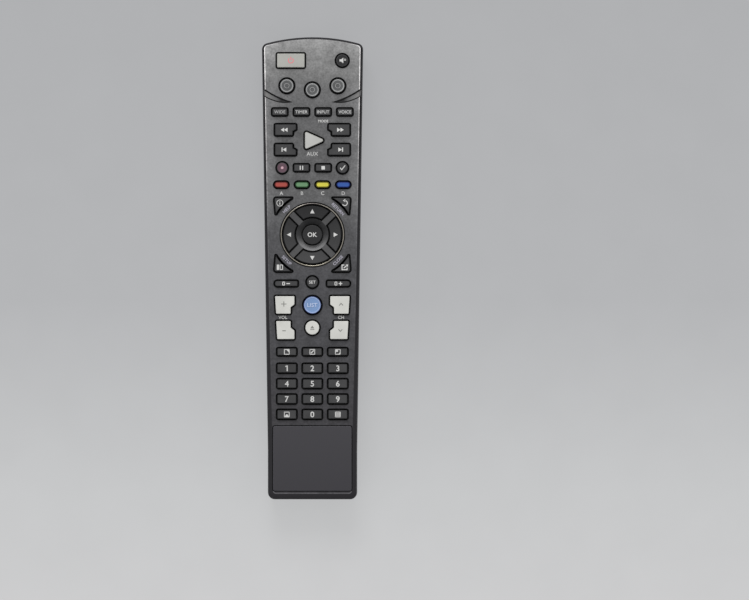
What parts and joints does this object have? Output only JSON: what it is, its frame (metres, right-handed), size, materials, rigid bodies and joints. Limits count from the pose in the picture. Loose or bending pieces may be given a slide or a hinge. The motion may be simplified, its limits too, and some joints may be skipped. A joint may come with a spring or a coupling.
{
  "type": "handheld infrared remote control",
  "caption": "Slim tapered television remote control with a navigation ring, number pad and sliding battery cover.",
  "frame": {"origin": "on the surface that the remote rests on, under the middle of its case", "axes": "+Z out of the key face, +Y along the case towards the infrared window, +X to the right of the keys"},
  "size_m": [0.0482, 0.22, 0.0218],
  "materials": {
    "panel": "satin grey moulding with a fine grain, lighter at the head",
    "shell": "dark grey moulding with a fine grain",
    "front_plate": "smooth dark grey insert",
    "dark_keys": "dark grey caps with pale printed signs",
    "grey_keys": "mid grey caps with a lighter rim",
    "light_keys": "light grey caps",
    "cream_keys": "off-white caps with dark printed signs",
    "record_key": "dull purple-grey cap",
    "red_key": "dull red cap",
    "green_key": "dull green cap",
    "yellow_key": "dull yellow cap",
    "blue_key": "dull blue cap",
    "guide_key": "light blue cap",
    "chrome_trim": "bright trim ring",
    "infrared_window": "dark smoked plastic that passes infrared",
    "diode": "clear epoxy with a faint blue tint",
    "rubber": "grey silicone sheet",
    "board": "green solder mask over fibre board",
    "chip": "black moulded package",
    "battery": null,
    "contacts": "nickel plated spring steel"
  },
  "bodies": {
    "case": {"upper_case": "panel", "lower_case": "shell", "front_plate": "front_plate", "navigation_ring": "chrome_trim", "infrared_window": "infrared_window", "infrared_led": "diode", "keypad_mat": "rubber", "circuit_board": "board", "control_chip": "chip", "battery_left": "battery", "battery_right": "battery", "contact_positive": "contacts", "contact_negative": "contacts", "contact_bridge": "contacts"},
    "power_key": {"power_key": "light_keys"},
    "mute_key": {"mute_key": "dark_keys"},
    "source_key_left": {"source_key_left": "grey_keys"},
    "source_key_middle": {"source_key_middle": "grey_keys"},
    "source_key_right": {"source_key_right": "grey_keys"},
    "function_key_1": {"function_key_1": "dark_keys"},
    "function_key_2": {"function_key_2": "dark_keys"},
    "function_key_3": {"function_key_3": "dark_keys"},
    "function_key_4": {"function_key_4": "dark_keys"},
    "rewind_key": {"rewind_key": "dark_keys"},
    "forward_key": {"forward_key": "dark_keys"},
    "previous_key": {"previous_key": "dark_keys"},
    "next_key": {"next_key": "dark_keys"},
    "play_key": {"play_key": "light_keys"},
    "record_key": {"record_key": "record_key"},
    "pause_key": {"pause_key": "dark_keys"},
    "stop_key": {"stop_key": "dark_keys"},
    "confirm_key": {"confirm_key": "dark_keys"},
    "red_key": {"red_key": "red_key"},
    "green_key": {"green_key": "green_key"},
    "yellow_key": {"yellow_key": "yellow_key"},
    "blue_key": {"blue_key": "blue_key"},
    "up_key": {"up_key": "dark_keys"},
    "left_key": {"left_key": "dark_keys"},
    "down_key": {"down_key": "dark_keys"},
    "right_key": {"right_key": "dark_keys"},
    "ok_key": {"ok_key": "dark_keys"},
    "corner_key_upper_left": {"corner_key_upper_left": "dark_keys"},
    "corner_key_upper_right": {"corner_key_upper_right": "dark_keys"},
    "corner_key_lower_left": {"corner_key_lower_left": "dark_keys"},
    "corner_key_lower_right": {"corner_key_lower_right": "dark_keys"},
    "page_key_left": {"page_key_left": "dark_keys"},
    "page_key_right": {"page_key_right": "dark_keys"},
    "favourite_key": {"favourite_key": "dark_keys"},
    "volume_up_key": {"volume_up_key": "cream_keys"},
    "volume_down_key": {"volume_down_key": "cream_keys"},
    "channel_up_key": {"channel_up_key": "cream_keys"},
    "channel_down_key": {"channel_down_key": "cream_keys"},
    "guide_key": {"guide_key": "guide_key"},
    "eject_key": {"eject_key": "cream_keys"},
    "pad_keys_icons": {"pad_keys_icons": "dark_keys"},
    "pad_keys_1_2_3": {"pad_keys_1_2_3": "dark_keys"},
    "pad_keys_4_5_6": {"pad_keys_4_5_6": "dark_keys"},
    "pad_keys_7_8_9": {"pad_keys_7_8_9": "dark_keys"},
    "pad_keys_0": {"pad_keys_0": "dark_keys"},
    "battery_cover": {"battery_cover": "shell"}
  },
  "joints": [
    {"name": "power_key_press", "type": "slide", "parent": "case", "child": "power_key", "axis": [0, 0, -1], "range_m": [0, 0.001], "stiffness_N_per_m": 1000},
    {"name": "mute_key_press", "type": "slide", "parent": "case", "child": "mute_key", "axis": [0, 0, -1], "range_m": [0, 0.001], "stiffness_N_per_m": 1000},
    {"name": "source_key_left_press", "type": "slide", "parent": "case", "child": "source_key_left", "axis": [0, 0, -1], "range_m": [0, 0.001], "stiffness_N_per_m": 1000},
    {"name": "source_key_middle_press", "type": "slide", "parent": "case", "child": "source_key_middle", "axis": [0, 0, -1], "range_m": [0, 0.001], "stiffness_N_per_m": 1000},
    {"name": "source_key_right_press", "type": "slide", "parent": "case", "child": "source_key_right", "axis": [0, 0, -1], "range_m": [0, 0.001], "stiffness_N_per_m": 1000},
    {"name": "function_key_1_press", "type": "slide", "parent": "case", "child": "function_key_1", "axis": [0, 0, -1], "range_m": [0, 0.001], "stiffness_N_per_m": 1000},
    {"name": "function_key_2_press", "type": "slide", "parent": "case", "child": "function_key_2", "axis": [0, 0, -1], "range_m": [0, 0.001], "stiffness_N_per_m": 1000},
    {"name": "function_key_3_press", "type": "slide", "parent": "case", "child": "function_key_3", "axis": [0, 0, -1], "range_m": [0, 0.001], "stiffness_N_per_m": 1000},
    {"name": "function_key_4_press", "type": "slide", "parent": "case", "child": "function_key_4", "axis": [0, 0, -1], "range_m": [0, 0.001], "stiffness_N_per_m": 1000},
    {"name": "rewind_key_press", "type": "slide", "parent": "case", "child": "rewind_key", "axis": [0, 0, -1], "range_m": [0, 0.001], "stiffness_N_per_m": 1000},
    {"name": "forward_key_press", "type": "slide", "parent": "case", "child": "forward_key", "axis": [0, 0, -1], "range_m": [0, 0.001], "stiffness_N_per_m": 1000},
    {"name": "previous_key_press", "type": "slide", "parent": "case", "child": "previous_key", "axis": [0, 0, -1], "range_m": [0, 0.001], "stiffness_N_per_m": 1000},
    {"name": "next_key_press", "type": "slide", "parent": "case", "child": "next_key", "axis": [0, 0, -1], "range_m": [0, 0.001], "stiffness_N_per_m": 1000},
    {"name": "play_key_press", "type": "slide", "parent": "case", "child": "play_key", "axis": [0, 0, -1], "range_m": [0, 0.001], "stiffness_N_per_m": 1000},
    {"name": "record_key_press", "type": "slide", "parent": "case", "child": "record_key", "axis": [0, 0, -1], "range_m": [0, 0.001], "stiffness_N_per_m": 1000},
    {"name": "pause_key_press", "type": "slide", "parent": "case", "child": "pause_key", "axis": [0, 0, -1], "range_m": [0, 0.001], "stiffness_N_per_m": 1000},
    {"name": "stop_key_press", "type": "slide", "parent": "case", "child": "stop_key", "axis": [0, 0, -1], "range_m": [0, 0.001], "stiffness_N_per_m": 1000},
    {"name": "confirm_key_press", "type": "slide", "parent": "case", "child": "confirm_key", "axis": [0, 0, -1], "range_m": [0, 0.001], "stiffness_N_per_m": 1000},
    {"name": "red_key_press", "type": "slide", "parent": "case", "child": "red_key", "axis": [0, 0, -1], "range_m": [0, 0.001], "stiffness_N_per_m": 1000},
    {"name": "green_key_press", "type": "slide", "parent": "case", "child": "green_key", "axis": [0, 0, -1], "range_m": [0, 0.001], "stiffness_N_per_m": 1000},
    {"name": "yellow_key_press", "type": "slide", "parent": "case", "child": "yellow_key", "axis": [0, 0, -1], "range_m": [0, 0.001], "stiffness_N_per_m": 1000},
    {"name": "blue_key_press", "type": "slide", "parent": "case", "child": "blue_key", "axis": [0, 0, -1], "range_m": [0, 0.001], "stiffness_N_per_m": 1000},
    {"name": "up_key_press", "type": "slide", "parent": "case", "child": "up_key", "axis": [0, 0, -1], "range_m": [0, 0.001], "stiffness_N_per_m": 1000},
    {"name": "left_key_press", "type": "slide", "parent": "case", "child": "left_key", "axis": [0, 0, -1], "range_m": [0, 0.001], "stiffness_N_per_m": 1000},
    {"name": "down_key_press", "type": "slide", "parent": "case", "child": "down_key", "axis": [0, 0, -1], "range_m": [0, 0.001], "stiffness_N_per_m": 1000},
    {"name": "right_key_press", "type": "slide", "parent": "case", "child": "right_key", "axis": [0, 0, -1], "range_m": [0, 0.001], "stiffness_N_per_m": 1000},
    {"name": "ok_key_press", "type": "slide", "parent": "case", "child": "ok_key", "axis": [0, 0, -1], "range_m": [0, 0.001], "stiffness_N_per_m": 1000},
    {"name": "corner_key_upper_left_press", "type": "slide", "parent": "case", "child": "corner_key_upper_left", "axis": [0, 0, -1], "range_m": [0, 0.001], "stiffness_N_per_m": 1000},
    {"name": "corner_key_upper_right_press", "type": "slide", "parent": "case", "child": "corner_key_upper_right", "axis": [0, 0, -1], "range_m": [0, 0.001], "stiffness_N_per_m": 1000},
    {"name": "corner_key_lower_left_press", "type": "slide", "parent": "case", "child": "corner_key_lower_left", "axis": [0, 0, -1], "range_m": [0, 0.001], "stiffness_N_per_m": 1000},
    {"name": "corner_key_lower_right_press", "type": "slide", "parent": "case", "child": "corner_key_lower_right", "axis": [0, 0, -1], "range_m": [0, 0.001], "stiffness_N_per_m": 1000},
    {"name": "page_key_left_press", "type": "slide", "parent": "case", "child": "page_key_left", "axis": [0, 0, -1], "range_m": [0, 0.001], "stiffness_N_per_m": 1000},
    {"name": "page_key_right_press", "type": "slide", "parent": "case", "child": "page_key_right", "axis": [0, 0, -1], "range_m": [0, 0.001], "stiffness_N_per_m": 1000},
    {"name": "favourite_key_press", "type": "slide", "parent": "case", "child": "favourite_key", "axis": [0, 0, -1], "range_m": [0, 0.001], "stiffness_N_per_m": 1000},
    {"name": "volume_up_key_press", "type": "slide", "parent": "case", "child": "volume_up_key", "axis": [0, 0, -1], "range_m": [0, 0.001], "stiffness_N_per_m": 1000},
    {"name": "volume_down_key_press", "type": "slide", "parent": "case", "child": "volume_down_key", "axis": [0, 0, -1], "range_m": [0, 0.001], "stiffness_N_per_m": 1000},
    {"name": "channel_up_key_press", "type": "slide", "parent": "case", "child": "channel_up_key", "axis": [0, 0, -1], "range_m": [0, 0.001], "stiffness_N_per_m": 1000},
    {"name": "channel_down_key_press", "type": "slide", "parent": "case", "child": "channel_down_key", "axis": [0, 0, -1], "range_m": [0, 0.001], "stiffness_N_per_m": 1000},
    {"name": "guide_key_press", "type": "slide", "parent": "case", "child": "guide_key", "axis": [0, 0, -1], "range_m": [0, 0.001], "stiffness_N_per_m": 1000},
    {"name": "eject_key_press", "type": "slide", "parent": "case", "child": "eject_key", "axis": [0, 0, -1], "range_m": [0, 0.001], "stiffness_N_per_m": 1000},
    {"name": "pad_keys_icons_press", "type": "slide", "parent": "case", "child": "pad_keys_icons", "axis": [0, 0, -1], "range_m": [0, 0.001], "stiffness_N_per_m": 1000},
    {"name": "pad_keys_1_2_3_press", "type": "slide", "parent": "case", "child": "pad_keys_1_2_3", "axis": [0, 0, -1], "range_m": [0, 0.001], "stiffness_N_per_m": 1000},
    {"name": "pad_keys_4_5_6_press", "type": "slide", "parent": "case", "child": "pad_keys_4_5_6", "axis": [0, 0, -1], "range_m": [0, 0.001], "stiffness_N_per_m": 1000},
    {"name": "pad_keys_7_8_9_press", "type": "slide", "parent": "case", "child": "pad_keys_7_8_9", "axis": [0, 0, -1], "range_m": [0, 0.001], "stiffness_N_per_m": 1000},
    {"name": "pad_keys_0_press", "type": "slide", "parent": "case", "child": "pad_keys_0", "axis": [0, 0, -1], "range_m": [0, 0.001], "stiffness_N_per_m": 1000},
    {"name": "battery_cover_slide", "type": "slide", "parent": "case", "child": "battery_cover", "axis": [0, -1, 0], "range_m": [0, 0.064]}
  ]
}
